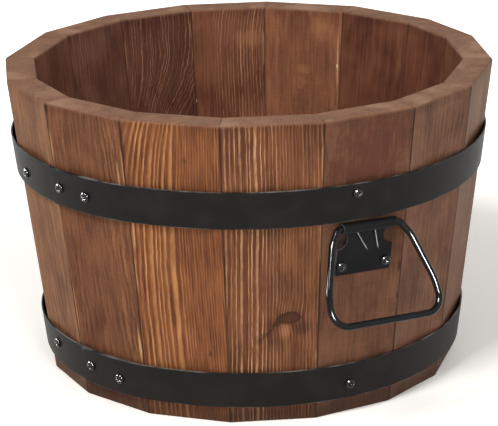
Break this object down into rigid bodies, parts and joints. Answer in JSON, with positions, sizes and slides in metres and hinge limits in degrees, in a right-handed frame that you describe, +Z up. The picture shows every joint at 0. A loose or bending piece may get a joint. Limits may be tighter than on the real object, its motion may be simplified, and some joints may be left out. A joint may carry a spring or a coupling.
{
  "type": "tub planter",
  "caption": "Round tapered wooden tub planter of flat staves held by two black steel hoops, with a boarded base and hinged wire handles.",
  "frame": {"origin": "centre of the foot ring on the floor, on the tub's axis", "axes": "+Z up along the tub's axis, +X towards the right handle (the one that the picture shows)"},
  "size_m": [0.478, 0.4135, 0.262],
  "materials": {
    "stained_wood": "red-brown stained softwood, satin, grain upright",
    "base_wood": "sawn softwood, lightly stained",
    "black_hoop": "satin black paint",
    "black_plate": "satin black paint",
    "black_screw": "glossy black coating",
    "black_wire": "glossy black paint"
  },
  "bodies": {
    "tub": {"stave_01": "stained_wood", "stave_02": "stained_wood", "stave_03": "stained_wood", "stave_04": "stained_wood", "stave_05": "stained_wood", "stave_06": "stained_wood", "stave_07": "stained_wood", "stave_08": "stained_wood", "stave_09": "stained_wood", "stave_10": "stained_wood", "stave_11": "stained_wood", "stave_12": "stained_wood", "stave_13": "stained_wood", "stave_14": "stained_wood", "stave_15": "stained_wood", "stave_16": "stained_wood", "base_board_1": "base_wood", "base_board_2": "base_wood", "base_board_3": "base_wood", "base_board_4": "base_wood", "base_board_5": "base_wood", "upper_hoop": "black_hoop", "lower_hoop": "black_hoop", "upper_hoop_screws": "black_screw", "lower_hoop_screws": "black_screw", "right_plate_screws": "black_screw", "left_plate_screws": "black_screw", "right_handle_plate": "black_plate", "left_handle_plate": "black_plate"},
    "right_handle": {"right_bail": "black_wire"},
    "left_handle": {"left_bail": "black_wire"}
  },
  "joints": [
    {"name": "right_handle_swing", "type": "hinge", "parent": "tub", "child": "right_handle", "pos_m": [0.19984, 0.002, 0.16823], "axis": [0.0045, -0.9992, 0.0399], "range_deg": [-35, 122]},
    {"name": "left_handle_swing", "type": "hinge", "parent": "tub", "child": "left_handle", "pos_m": [-0.19984, -0.002, 0.16823], "axis": [-0.0045, 0.9992, 0.0399], "range_deg": [-35, 122]}
  ]
}
